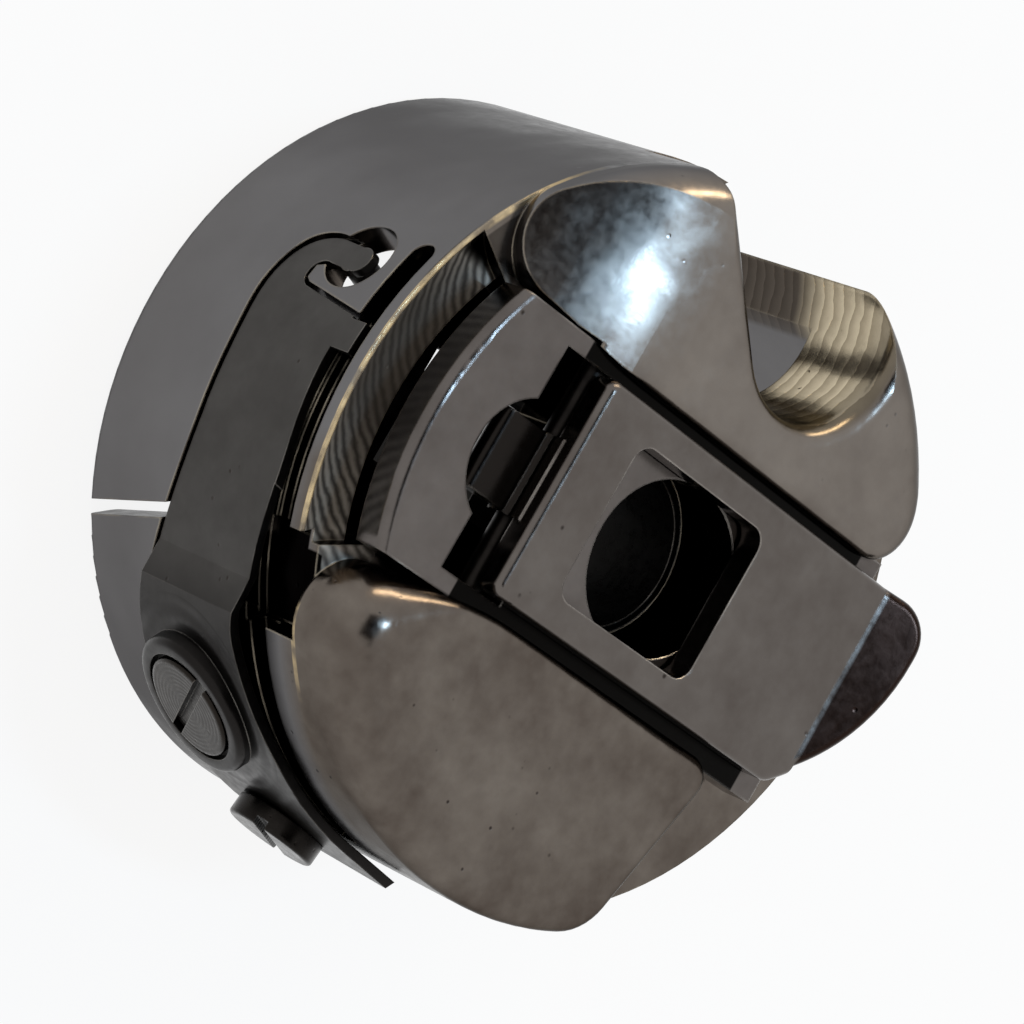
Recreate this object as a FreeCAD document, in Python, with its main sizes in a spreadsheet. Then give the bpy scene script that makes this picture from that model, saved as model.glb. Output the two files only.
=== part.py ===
import FreeCAD
import Part
import math
import os
import re

from FreeCAD import Vector

# A bobbin case for an industrial lockstitch machine: an open steel cup that carries a
# bobbin on its post, a latch that holds the cup on the stud of the hook, and a leaf spring
# that sets the thread tension. The origin is on the cup's axis in the plane of its open rim,
# +Z points out of the latch face, +X along the latch lever towards its lip.

doc = FreeCAD.newDocument("bobbin_case")
sizes = doc.addObject("Spreadsheet::Sheet", "sizes")

# Driving dimensions, millimetres and degrees.
DRIVING = (
    # cup
    ("outer_radius", 11.7),
    ("wall", 1.0),
    ("cavity_depth", 8.95),
    ("plate_thickness", 1.75),
    ("rim_round", 0.25),
    # lobes on the front plate, either side of the latch channel
    ("lobe_height", 2.2),
    ("channel_half", 4.05),
    ("flare_start", 4.5),
    ("flare_angle", 9.0),
    ("flare_blend", 12.0),
    ("shoulder_round", 1.7),
    ("channel_round", 0.3),
    ("mouth_round", 1.4),
    ("mouth_corner", 1.8),
    ("slope_start", 5.3),
    ("slope_angle", 24.3),
    ("ridge_reach", 2.6),
    ("ridge_lift", 0.01),
    ("tip_corner", 2.0),
    ("shelf_start", 6.85),
    ("shelf_angle", 14.0),
    ("shelf_corner", 0.8),
    ("shelf_round", 0.5),
    ("shelf_end_corner", 1.95),
    # round notch in the upper lobe, milled in and run out through the wall
    ("notch_inset", 2.63),
    ("notch_angle", 78.9),
    ("notch_radius", 2.95),
    ("notch_run_angle", 138.0),
    ("notch_plunge_run", 1.0),
    ("notch_floor", 3.6),
    ("notch_pass_depth", 0.45),
    ("notch_round", 0.6),
    # curved mouth in the plate behind the slide head, and the well for the lever heel
    ("mouth_rim", 2.0),
    ("mouth_width", 1.5),
    ("mouth_half_angle", 27.0),
    ("mouth_depth", 1.1),
    ("scoop_radius", 2.35),
    ("scoop_depth", 0.5),
    ("scoop_inset", 1.6),
    ("gap_start", 166.0),
    ("gap_end", 181.0),
    ("gap_width", 0.8),
    ("well_half", 1.9),
    ("well_start", 4.2),
    # bobbin post and stud bore
    ("bore_radius", 2.6),
    ("post_wall", 0.35),
    ("spigot_step", 0.1),
    ("post_end", 2.2),
    ("collar_width", 0.7),
    ("collar_height", 0.4),
    ("post_round", 0.15),
    # latch slide
    ("slide_lift", 0.5),
    ("slide_thickness", 1.2),
    ("slide_half", 4.3),
    ("slide_clearance", 0.1),
    ("slide_reach", 9.0),
    ("head_radius", 10.05),
    ("head_round", 0.3),
    ("slide_travel", 1.0),
    ("latch_bite", 0.45),
    ("stud_clearance", 0.08),
    ("hole_stretch", 0.5),
    ("rail_width", 0.6),
    ("hinge_gap_start", 6.8),
    ("hinge_gap_end", 4.1),
    ("head_notch_radius", 2.1),
    ("head_notch_x", 5.95),
    # latch spring and the peg that it pushes against
    ("peg_start", 4.4),
    ("peg_thickness", 0.6),
    ("peg_half", 0.6),
    ("spring_end_wall", 0.5),
    ("spring_wire", 0.28),
    ("spring_mean_radius", 0.62),
    ("spring_turns", 4.0),
    ("spring_slot_half", 0.95),
    # latch lever
    ("lever_thickness", 0.9),
    ("lever_half", 3.6),
    ("lever_gap", 0.1),
    ("lever_back", 5.45),
    ("lever_round", 0.26),
    ("lever_end_round", 0.4),
    ("window_back", 3.3),
    ("window_front", 3.0),
    ("window_half", 2.6),
    ("window_corner", 0.6),
    ("lip_crease", 8.75),
    ("lip_angle", 20.0),
    ("lip_sweep", 7.05),
    ("lip_centre_x", 4.1),
    ("lip_centre_y", 2.1),
    ("lip_corner", 1.3),
    ("lip_round", 0.25),
    ("hinge_x", 5.0),
    ("hinge_drop", 0.6),
    ("pin_radius", 0.4),
    ("pin_play", 0.04),
    ("pin_inset", 0.15),
    ("knuckle_radius", 0.7),
    ("knuckle_half", 1.35),
    ("neck_half", 0.5),
    ("heel_length", 2.4),
    ("heel_half", 1.3),
    ("heel_thickness", 0.7),
    # tension leaf spring and its openings in the wall
    ("leaf_thickness", 0.32),
    ("leaf_sink", 0.08),
    ("leaf_clearance", 0.06),
    ("leaf_seat_gap", 0.06),
    ("leaf_margin", 0.13),
    ("leaf_middle", 6.85),
    ("joggle_start", 215.0),
    ("joggle_end", 220.0),
    ("leaf_straight_length", 2.6),
    ("eye_radius", 1.2),
    ("eye_angle", 164.8),
    ("eye_rise", 0.72),
    ("hook_radius", 0.46),
    ("hook_depth", 0.6),
    ("slot_web", 0.35),
    ("slot_width", 0.9),
    ("slot_depth", 0.9),
    ("slot_start", 161.5),
    ("slot_end", 206.0),
    ("slot_foot_start", 173.2),
    ("slot_foot", 0.4),
    ("slot_foot_depth", 0.6),
    ("slot_wide_end", 221.0),
    ("slot_wide_foot", 0.9),
    ("slot_wide_extra", 0.5),
    ("slot_wide_depth", 0.75),
    ("slot_tail_end", 262.0),
    ("slot_tail_foot", 0.7),
    ("slot_tail_depth", 0.55),
    ("tab_start", 174.2),
    ("tab_end", 179.2),
    ("tab_thickness", 0.3),
    ("tab_depth", 0.8),
    ("slit_width", 0.46),
    ("slit_angle", 215.0),
    ("slit_lean", 13.0),
    ("slit_length", 6.2),
    # regulating screw in its boss, fixing screw at the end of the leaf
    ("regulator_angle", 238.0),
    ("regulator_rise", -1.45),
    ("regulator_head_radius", 1.7),
    ("regulator_head_height", 0.36),
    ("regulator_shank", 0.6),
    ("boss_radius", 2.35),
    ("boss_round", 0.2),
    ("boss_rim", 0.5),
    ("boss_height", 0.38),
    ("boss_floor", 0.08),
    ("fixing_angle", 263.0),
    ("fixing_rise", -1.15),
    ("fixing_head_radius", 1.5),
    ("fixing_head_height", 0.7),
    ("fixing_shank", 0.7),
    ("screw_slot", 0.42),
    ("screw_slot_depth", 0.26),
    ("screw_round", 0.12),
    ("screw_hole_play", 0.05),
    ("screw_seat_gap", 0.02),
)

# Sizes that follow from the driving ones, so that pieces that fit share them.
DERIVED = (
    ("inner_radius", "=outer_radius - wall"),
    ("plate_top", "=cavity_depth + plate_thickness"),
    ("lobe_top", "=plate_top + lobe_height"),
    ("notch_x", "=(outer_radius - notch_inset) * cos(notch_angle)"),
    ("notch_y", "=(outer_radius - notch_inset) * sin(notch_angle)"),
    ("notch_pass_floor", "=cavity_depth - notch_pass_depth"),
    ("mouth_outer", "=outer_radius - mouth_rim"),
    ("mouth_inner", "=outer_radius - mouth_rim - mouth_width"),
    ("post_radius", "=bore_radius + post_wall"),
    ("spigot_radius", "=post_radius - spigot_step"),
    ("mouth_floor", "=plate_top - mouth_depth"),
    ("slide_bottom", "=plate_top + slide_lift"),
    ("slide_top", "=slide_bottom + slide_thickness"),
    ("stud_hole_radius", "=bore_radius + stud_clearance"),
    ("stud_hole_back", "=latch_bite + stud_clearance"),
    ("stud_hole_front", "=stud_hole_back + hole_stretch"),
    ("spring_start", "=peg_start + peg_thickness"),
    ("spring_end", "=slide_reach - spring_end_wall"),
    ("lever_bottom", "=slide_top + lever_gap"),
    ("spring_height", "=(plate_top + lever_bottom) / 2"),
    ("lever_top", "=lever_bottom + lever_thickness"),
    ("hinge_z", "=slide_top - hinge_drop"),
    ("leaf_free_outer", "=outer_radius - leaf_sink"),
    ("leaf_free_inner", "=leaf_free_outer - leaf_thickness"),
    ("leaf_bed", "=leaf_free_inner - leaf_clearance"),
    ("leaf_fixed_inner", "=outer_radius + leaf_seat_gap"),
    ("leaf_fixed_outer", "=leaf_fixed_inner + leaf_thickness"),
    ("eye_z", "=leaf_middle + eye_rise"),
    ("slot_low", "=cavity_depth + slot_web"),
    ("slot_high", "=slot_low + slot_width"),
    ("slot_inner", "=outer_radius - slot_depth"),
    ("tab_low", "=slot_low + 0.15"),
    ("regulator_z", "=leaf_middle + regulator_rise"),
    ("fixing_z", "=leaf_middle + fixing_rise"),
    ("boss_top", "=leaf_fixed_outer + boss_height"),
    ("boss_seat", "=leaf_fixed_outer + boss_floor"),
)

for row, (alias, value) in enumerate(DRIVING + DERIVED, start=1):
    sizes.set("A%d" % row, alias)
    sizes.set("B%d" % row, str(value))
    sizes.setAlias("B%d" % row, alias)
doc.recompute()


def size(alias):
    """The number in the sheet's cell of that name."""
    return float(sizes.get(alias))


FUNCTIONS = ("sin", "cos", "tan", "placement", "vector", "rotation")


def formula(text):
    """Point every size named in text at its cell in the sheet."""
    def cell(match):
        word = match.group(0)
        return word if word in FUNCTIONS else "sizes." + word
    return re.sub(r"[a-z][a-z_]*", cell, text)


def pose(x="0", y="0", z="0", yaw="0", pitch="0", roll="0"):
    """A place and a turn, in the words of the sheet."""
    return "placement(vector(%s; %s; %s); rotation(%s; %s; %s))" % (x, y, z, yaw, pitch, roll)


def place(solid, *poses):
    solid.setExpression("Placement", formula(" * ".join(poses)))
    return solid


def cylinder(name, radius, height, *poses, angle="360"):
    solid = doc.addObject("Part::Cylinder", name)
    solid.setExpression("Radius", formula(radius))
    solid.setExpression("Height", formula(height))
    solid.setExpression("Angle", formula(angle))
    return place(solid, *(poses or (pose(),)))


def radial_pin(name, radius, start, end, angle, z):
    """A cylinder that points away from the cup's axis, from one distance to another."""
    return cylinder(name, radius, "%s - (%s)" % (end, start), pose(yaw=angle), pose(x=start, z=z, pitch="90"))


def block(name, x, y, z, *poses):
    """A box between two bounds on each axis, in the frame that the poses lead to."""
    solid = doc.addObject("Part::Box", name)
    for side, (low, high) in (("Length", x), ("Width", y), ("Height", z)):
        solid.setExpression(side, formula("%s - (%s)" % (high, low)))
    return place(solid, *poses, pose(x[0], y[0], z[0]))


def fuse(name, *solids):
    joined = doc.addObject("Part::MultiFuse", name)
    joined.Shapes = list(solids)
    joined.Refine = True
    return joined


def common(name, *solids):
    shared = doc.addObject("Part::MultiCommon", name)
    shared.Shapes = list(solids)
    return shared


def cut(name, base, *tools):
    tool = tools[0]
    if len(tools) > 1:
        tool = doc.addObject("Part::MultiFuse", name + "_tools")
        tool.Shapes = list(tools)
    result = doc.addObject("Part::Cut", name)
    result.Base = base
    result.Tool = tool
    result.Refine = True
    return result


def rounded(name, base, choose):
    """Round the edges for which choose(edge) gives a radius, or one radius for each end."""
    doc.recompute()
    edges = []
    for number, edge in enumerate(base.Shape.Edges, start=1):
        radius = choose(edge)
        if radius:
            first, last = radius if isinstance(radius, tuple) else (radius, radius)
            edges.append((number, first, last))
    result = doc.addObject("Part::Fillet", name)
    result.Base = base
    result.Edges = edges
    return result


def solid_feature(name, shape):
    """A document object for a shape that no primitive gives."""
    feature = doc.addObject("Part::Feature", name)
    feature.Shape = shape
    return feature


def is_line(edge, axis):
    """Whether an edge is straight along an axis."""
    return isinstance(edge.Curve, Part.Line) and abs(edge.tangentAt(edge.FirstParameter).dot(axis)) > 0.999


def is_level(edge, z):
    box = edge.BoundBox
    return abs(box.ZMin - z) < 1e-4 and abs(box.ZMax - z) < 1e-4


def middle(edge):
    return edge.valueAt((edge.FirstParameter + edge.LastParameter) / 2)


def polar(angle, radius, z=0.0):
    turn = math.radians(angle)
    return Vector(radius * math.cos(turn), radius * math.sin(turn), z)


X_AXIS = Vector(1, 0, 0)
Y_AXIS = Vector(0, 1, 0)
Z_AXIS = Vector(0, 0, 1)


# Cup with its two lobes

def milled_blank():
    """The turned blank with the latch channel and the shelf below the lip milled away."""
    blank = cylinder("blank", "outer_radius", "lobe_top")
    cavity = cylinder("cavity", "inner_radius", "cavity_depth + 1", pose(z="-1"))
    above = ("plate_top", "lobe_top + 1")
    across = ("-outer_radius - 1", "outer_radius + 1")
    channel = block("channel", across, ("-channel_half", "channel_half"), above)
    upper = block("upper_flare", ("-2 * outer_radius", "0"), ("-channel_half", "0"), above,
                  pose("-flare_start", "channel_half", yaw="-flare_angle"))
    lower = block("lower_flare", ("-2 * outer_radius", "0"), ("0", "channel_half"), above,
                  pose("-flare_start", "-channel_half", yaw="flare_angle"))
    shelf = block("shelf", ("0", "outer_radius"), ("-2 * outer_radius", "1"), above,
                  pose("shelf_start", "-channel_half", yaw="-shelf_angle"))
    return cut("milled", blank, cavity, channel, upper, lower, shelf)


def corner_radius(edge):
    """Radius for the open rim or for an upright corner of a lobe, by where it stands."""
    if is_level(edge, 0.0):
        return size("rim_round")
    if not is_line(edge, Z_AXIS) or edge.BoundBox.ZMax < size("lobe_top") - 0.01:
        return None
    spot = middle(edge)
    reach = math.hypot(spot.x, spot.y)
    if reach > size("outer_radius") - 0.01:
        if spot.x < 0:
            return size("mouth_corner")
        return size("tip_corner") if spot.y > 0 else size("shelf_end_corner")
    return size("flare_blend") if spot.x < 0 else size("shelf_corner")


def lobe_edge_radius(spot):
    """Radius of a lobe's top edge at a point, from the shoulder outside to the channel inside."""
    if math.hypot(spot.x, spot.y) > size("outer_radius") - 0.01:
        return size("shoulder_round")
    if spot.x < -size("flare_start") - 1.5:
        return size("mouth_round")
    if spot.y < 0 and spot.x > size("shelf_start") - 2.0:
        return size("shelf_round")
    return size("channel_round")


def top_edge(edge):
    if not is_level(edge, size("lobe_top")):
        return None
    ends = [lobe_edge_radius(edge.Vertexes[0].Point), lobe_edge_radius(edge.Vertexes[-1].Point)]
    if edge.Orientation == "Reversed":
        ends.reverse()
    return tuple(ends)


def ring_sector(name, inner, outer, start, end, low, high):
    """Part of a ring about the cup's axis, between two angles and two heights."""
    sweep = "%s - (%s)" % (end, start)
    full = cylinder(name + "_full", outer, "%s - (%s)" % (high, low), pose(z=low, yaw=start), angle=sweep)
    core = cylinder(name + "_core", inner, "%s - (%s) + 2" % (high, low), pose(z=low + " - 1"))
    return cut(name, full, core)


# Tension leaf: outline points are (angle round the cup, height from the leaf's middle)

TIP_BACK = ((200.0, -2.15), (191.6, -2.06), (180.0, -2.11), (173.8, -2.22), (168.6, -2.05),
            (165.2, -1.62), (163.3, -0.95), (163.0, -0.2))
FINGER_END = ((163.2, 0.5), (165.2, 1.15), (167.5, 0.72))
FINGER_INSIDE = (167.3, -0.25)
GULLET = ((169.0, -0.86), (172.0, -0.38))
TIP_CORNER = (173.8, 2.2)
TIP_FRONT = ((178.0, 2.06), (185.0, 2.07), (191.0, 2.15), (197.5, 2.19), (200.0, 2.14))
MAIN_FRONT = ((196.0, 2.19), (204.3, 2.01), (209.6, 1.8), (217.4, 1.46), (222.5, 1.2), (227.0, 1.3),
              (235.3, 1.6), (242.8, 1.88), (252.0, 1.95))
MAIN_END = ((276.0, 1.95), (271.0, -2.6))
MAIN_BACK = ((262.0, -3.35), (250.0, -3.65), (240.0, -3.8), (230.0, -3.75), (222.0, -3.5),
             (214.3, -2.99), (204.0, -2.37), (196.0, -2.1))


def unrolled(points, facing):
    """Outline points laid on the upright flat through the cup's axis that faces one direction."""
    turn = math.radians(facing)
    flat = []
    for angle, rise in points:
        reach = size("outer_radius") * math.sin(math.radians(angle) - turn)
        flat.append(Vector(-reach * math.sin(turn), reach * math.cos(turn), size("leaf_middle") + rise))
    return flat


def curve_through(points):
    curve = Part.BSplineCurve()
    curve.interpolate(points)
    return curve.toShape()


def straight(first, last):
    return Part.makeLine(first, last)


def prism(edges, facing):
    """Solid that stands on an outline and points away from the cup's axis."""
    face = Part.Face(Part.Wire(Part.__sortEdges__(edges)))
    return face.extrude(polar(facing, 2 * size("outer_radius")))


def tip_prism():
    facing = 172.0
    back, finger, gullet, front = (unrolled(points, facing) for points in (TIP_BACK, FINGER_END, GULLET, TIP_FRONT))
    inside, corner = unrolled((FINGER_INSIDE, TIP_CORNER), facing)
    edges = [
        curve_through(back),
        straight(back[-1], finger[0]),
        Part.Arc(finger[0], finger[1], finger[2]).toShape(),
        straight(finger[2], inside),
        Part.Arc(inside, gullet[0], gullet[1]).toShape(),
        straight(gullet[1], corner),
        straight(corner, front[0]),
        curve_through(front),
        straight(front[-1], back[0]),
    ]
    return prism(edges, facing)


def main_prism():
    facing = 236.0
    front, end, back = (unrolled(points, facing) for points in (MAIN_FRONT, MAIN_END, MAIN_BACK))
    edges = [
        curve_through(front),
        straight(front[-1], end[0]),
        straight(end[0], end[1]),
        straight(end[1], back[0]),
        curve_through(back),
        straight(back[-1], front[0]),
    ]
    return prism(edges, facing)


def leaf_ribbon():
    """The bent strip before its outline is cut: free arc, joggle, seat arc, straight end."""
    free_in, free_out = size("leaf_free_inner"), size("leaf_free_outer")
    seat_in, seat_out = size("leaf_fixed_inner"), size("leaf_fixed_outer")
    start, bend, seat, last = 158.0, size("joggle_start"), size("joggle_end"), size("fixing_angle")
    run = polar(last + 90.0, size("leaf_straight_length"))

    def arc(radius, first, final):
        mid = (first + final) / 2
        return Part.Arc(polar(first, radius), polar(mid, radius), polar(final, radius)).toShape()

    outside = polar(last, seat_out)
    inside = polar(last, seat_in)
    edges = [
        arc(free_out, start, bend),
        straight(polar(bend, free_out), polar(seat, seat_out)),
        arc(seat_out, seat, last),
        straight(outside, outside + run),
        straight(outside + run, inside + run),
        straight(inside + run, inside),
        arc(seat_in, seat, last),
        straight(polar(seat, seat_in), polar(bend, free_in)),
        arc(free_in, start, bend),
        straight(polar(start, free_in), polar(start, free_out)),
    ]
    face = Part.Face(Part.Wire(Part.__sortEdges__(edges)))
    return face.extrude(Vector(0, 0, size("plate_top")))


def leaf_shape():
    ribbon = leaf_ribbon()
    return ribbon.common(tip_prism()).fuse(ribbon.common(main_prism())).removeSplitter()


def leaf_bed_shape():
    """Recess in the wall that lets the free end of the leaf lie flush, a margin larger than the leaf."""
    first, last = 158.0, size("joggle_end") + 1.0
    ring = Part.makeCylinder(size("outer_radius") + 1, size("plate_top"), Vector(0, 0, 0), Z_AXIS, last - first)
    ring.rotate(Vector(0, 0, 0), Z_AXIS, first)
    ring = ring.cut(Part.makeCylinder(size("leaf_bed"), size("plate_top")))
    facing = 190.0
    margin = size("leaf_margin")
    side = math.degrees(margin / size("outer_radius"))
    back = [(angle, rise - margin) for angle, rise in MAIN_BACK if angle < last + 4.0]
    back += [(angle, rise - margin) for angle, rise in TIP_BACK if 167.0 < angle < 192.0]
    back += [(angle - side, rise - margin) for angle, rise in TIP_BACK if angle < 167.0]
    front = [(angle, rise + margin) for angle, rise in TIP_FRONT if 178.0 < angle < 192.0]
    front += [(angle, rise + margin) for angle, rise in MAIN_FRONT if angle < last + 4.0]
    inside, corner = FINGER_INSIDE, TIP_CORNER
    between = [
        (FINGER_END[0][0] - side, FINGER_END[0][1]),
        (FINGER_END[1][0], FINGER_END[1][1] + margin),
        (FINGER_END[2][0] + side, FINGER_END[2][1]),
        (inside[0] + side, inside[1]),
        (inside[0] + 2 * side, GULLET[0][1] + 2 * margin),
        (GULLET[1][0] - 2 * side, GULLET[0][1] + 2 * margin),
        (GULLET[1][0] - side, GULLET[1][1]),
        (corner[0] - side, corner[1] + margin),
    ]
    back, between, front = (unrolled(points, facing) for points in (back, between, front))
    corners = [back[-1]] + between + [front[0]]
    edges = [curve_through(back), curve_through(front), straight(front[-1], back[0])]
    edges += [straight(here, there) for here, there in zip(corners, corners[1:])]
    return ring.common(prism(edges, facing))


def notch_tools():
    """The round pocket, carried a little outwards, and the shallow pass that runs out of the wall."""
    towards = pose("notch_x", "notch_y", yaw="notch_run_angle")
    deep = ("notch_floor", "lobe_top + 1")
    rise = "lobe_top + 1 - notch_floor"
    return (
        cylinder("notch_pocket", "notch_radius", rise, towards, pose(z="notch_floor")),
        cylinder("notch_pocket_end", "notch_radius", rise, towards, pose("notch_plunge_run", z="notch_floor")),
        block("notch_pocket_run", ("0", "notch_plunge_run"), ("-notch_radius", "notch_radius"), deep, towards),
        block("notch_pass", ("0", "outer_radius"), ("-notch_radius", "notch_radius"),
              ("notch_pass_floor", "lobe_top + 1"), towards),
    )


def notch_easing():
    """Rounds the notch's edge on top of the lobe, at its round end and along its straight sides."""
    towards = pose("notch_x", "notch_y", yaw="notch_run_angle")
    wide = "notch_radius + notch_round"
    low = "lobe_top - notch_round"
    disc = cylinder("easing_disc", wide, "notch_round + 1", towards, pose(z=low))
    ring = doc.addObject("Part::Torus", "easing_ring")
    ring.setExpression("Radius1", formula(wide))
    ring.setExpression("Radius2", formula("notch_round"))
    place(ring, towards, pose(z=low))
    bar = block("easing_bar", ("0", "outer_radius"), ("-(%s)" % wide, wide), (low, "lobe_top + 1"), towards)
    rails = []
    for side, sign in (("left", ""), ("right", "-")):
        rails.append(cylinder("easing_" + side, "notch_round", "outer_radius + 1", towards,
                              pose("-0.5", "%s(%s)" % (sign, wide), low, pitch="90")))
    return cut("easing_end", disc, ring), cut("easing_sides", bar, *rails)


def mouth_slope():
    """Prism above the notched lobe's fall towards the mouth: a wide arc, then a plane down to the plate."""
    angle = math.radians(size("slope_angle"))
    radius = size("ridge_reach") / math.tan(angle / 2)
    centre = Vector(size("ridge_reach") - size("slope_start"), 0, size("lobe_top") + size("ridge_lift") - radius)
    far, above = 2 * size("outer_radius"), size("lobe_top") + size("lobe_height")

    def on_arc(turn):
        return centre + Vector(-math.sin(turn), 0, math.cos(turn)) * radius
    ridge, tangent = on_arc(0), on_arc(angle)
    foot = tangent + Vector(-1, 0, -math.tan(angle)) * ((tangent.z - size("plate_top")) / math.tan(angle))
    corners = [foot, Vector(-far, 0, foot.z), Vector(-far, 0, above), Vector(ridge.x, 0, above), ridge]
    edges = [Part.Arc(ridge, on_arc(angle / 2), tangent).toShape(), straight(tangent, foot)]
    edges += [straight(first, last) for first, last in zip(corners, corners[1:])]
    face = Part.Face(Part.Wire(Part.__sortEdges__(edges)))
    return solid_feature("mouth_slope", face.extrude(Vector(0, far, 0)))


def case_body():
    cornered = rounded("cornered", milled_blank(), corner_radius)
    shouldered = rounded("shouldered", cornered, top_edge)
    softened = cut("softened", shouldered, mouth_slope(), *notch_tools(), *notch_easing())
    below = "cavity_depth - 1"
    over = "plate_top + 1"
    mouth = ring_sector("mouth", "mouth_inner", "mouth_outer", "180 - mouth_half_angle",
                        "180 + mouth_half_angle", "mouth_floor", over)
    mouth_gap = ring_sector("mouth_gap", "mouth_inner - gap_width / 2", "mouth_inner + gap_width / 2", "gap_start",
                            "gap_end", below, over)
    scoop = doc.addObject("Part::Torus", "scoop")
    scoop.setExpression("Radius1", formula("outer_radius - scoop_inset"))
    scoop.setExpression("Radius2", formula("scoop_radius"))
    scoop.setExpression("Angle3", formula("2 * mouth_half_angle"))
    place(scoop, pose(z="plate_top - scoop_depth + scoop_radius", yaw="180 - mouth_half_angle"))
    well = block("well", ("-mouth_inner - 0.5", "-well_start"), ("-well_half", "well_half"), (below, over))
    grooves = block("grooves", ("-outer_radius - 1", "slide_reach + 0.3"),
                    ("-slide_half - slide_clearance", "slide_half + slide_clearance"),
                    ("slide_bottom - slide_clearance", "slide_top + slide_clearance"))
    outside = "outer_radius + 1"
    slot = ring_sector("slot", "slot_inner", outside, "slot_start", "slot_end", "slot_low", "slot_high")
    slot_foot = ring_sector("slot_foot_cut", "outer_radius - slot_foot_depth", outside, "slot_foot_start", "slot_end",
                            "slot_low - slot_foot", "slot_low + 0.1")
    slot_wide = ring_sector("slot_wide", "outer_radius - slot_wide_depth", outside, "slot_end - 1", "slot_wide_end",
                            "slot_low - slot_wide_foot", "slot_high + slot_wide_extra")
    slot_tail = ring_sector("slot_tail", "outer_radius - slot_tail_depth", outside, "slot_wide_end - 0.5",
                            "slot_tail_end", "slot_low - slot_tail_foot", "slot_low + 0.05")
    slot_round = radial_pin("slot_round", "slot_width / 2", "slot_inner", outside, "slot_start",
                            "slot_low + slot_width / 2")
    eye = radial_pin("eye", "eye_radius", "inner_radius - 1", "outer_radius + 1", "eye_angle", "eye_z")
    slit = block("slit", ("inner_radius - 1", "outer_radius + 1"), ("-slit_width / 2", "slit_width / 2"),
                 ("-1", "slit_length"), pose(yaw="slit_angle"), pose(roll="slit_lean"))
    post_hole = cylinder("post_hole", "spigot_radius", "plate_thickness + 2", pose(z=below))
    regulator_hole = radial_pin("regulator_hole", "regulator_shank + screw_hole_play", "inner_radius - 1",
                                "outer_radius + 1", "regulator_angle", "regulator_z")
    fixing_hole = radial_pin("fixing_hole", "fixing_shank + screw_hole_play", "inner_radius - 1",
                             "outer_radius + 1", "fixing_angle", "fixing_z")
    bed = solid_feature("leaf_bed_tool", leaf_bed_shape())
    pierced = cut("pierced", softened, eye, slit, post_hole, regulator_hole, fixing_hole)
    slotted = cut("slotted", pierced, slot, slot_round, slot_foot, slot_wide, slot_tail)
    opened = cut("opened", slotted, mouth, mouth_gap, scoop, well, grooves, bed)
    peg = block("peg", ("peg_start", "peg_start + peg_thickness"), ("-peg_half", "peg_half"),
                ("plate_top - 0.3", "slide_top - 0.1"))
    return fuse("case_body", opened, peg)


def bobbin_post():
    tube = cylinder("post_tube", "post_radius", "cavity_depth - post_end", pose(z="post_end"))
    spigot = cylinder("post_spigot", "spigot_radius", "plate_thickness + 0.1", pose(z="cavity_depth - 0.1"))
    collar = cylinder("post_collar", "post_radius + collar_width", "collar_height",
                      pose(z="cavity_depth - collar_height"))
    bore = cylinder("post_bore", "bore_radius", "plate_top", pose(z="post_end - 1"))
    body = cut("post_bored", fuse("post_blank", tube, spigot, collar), bore)

    def end_edge(edge):
        return size("post_round") if is_level(edge, size("post_end")) else None
    return rounded("bobbin_post", body, end_edge)


def latch_slide():
    heights = ("slide_bottom", "slide_top")
    across = ("slide_bottom - 1", "slide_top + 1")
    bar = block("slide_bar", ("-head_radius", "slide_reach"), ("-slide_half", "slide_half"), heights)
    turned = cylinder("slide_turned", "head_radius", "slide_thickness", pose(z="slide_bottom"))
    blank = common("slide_blank", bar, turned)

    def head_edge(edge):
        if is_level(edge, size("slide_top")) and isinstance(edge.Curve, Part.Circle) and middle(edge).x < 0:
            return size("head_round")
        return None
    eased = rounded("slide_eased", blank, head_edge)
    tall = "slide_thickness + 2"
    hole = "stud_hole_radius"
    tools = (
        cylinder("stud_hole_a", hole, tall, pose("stud_hole_back", z="slide_bottom - 1")),
        cylinder("stud_hole_b", hole, tall, pose("stud_hole_front", z="slide_bottom - 1")),
        block("stud_hole_c", ("stud_hole_back", "stud_hole_front"), ("-" + hole, hole), across),
        block("hinge_gap", ("-hinge_gap_start", "-hinge_gap_end"),
              ("-slide_half + rail_width", "slide_half - rail_width"), across),
        cylinder("head_notch", "head_notch_radius", tall, pose("-head_notch_x", z="slide_bottom - 1")),
        block("spring_slot", ("peg_start - slide_clearance", "spring_end"),
              ("-spring_slot_half", "spring_slot_half"), across),
        cylinder("slide_pin_hole", "pin_radius", "2 * slide_half + 2",
                 pose("-hinge_x", "slide_half + 1", "hinge_z", roll="90")),
    )
    return cut("latch_slide", eased, *tools)


def latch_pin():
    return cylinder("latch_pin", "pin_radius", "2 * (slide_half - pin_inset)",
                    pose("-hinge_x", "slide_half - pin_inset", "hinge_z", roll="90"))


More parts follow.
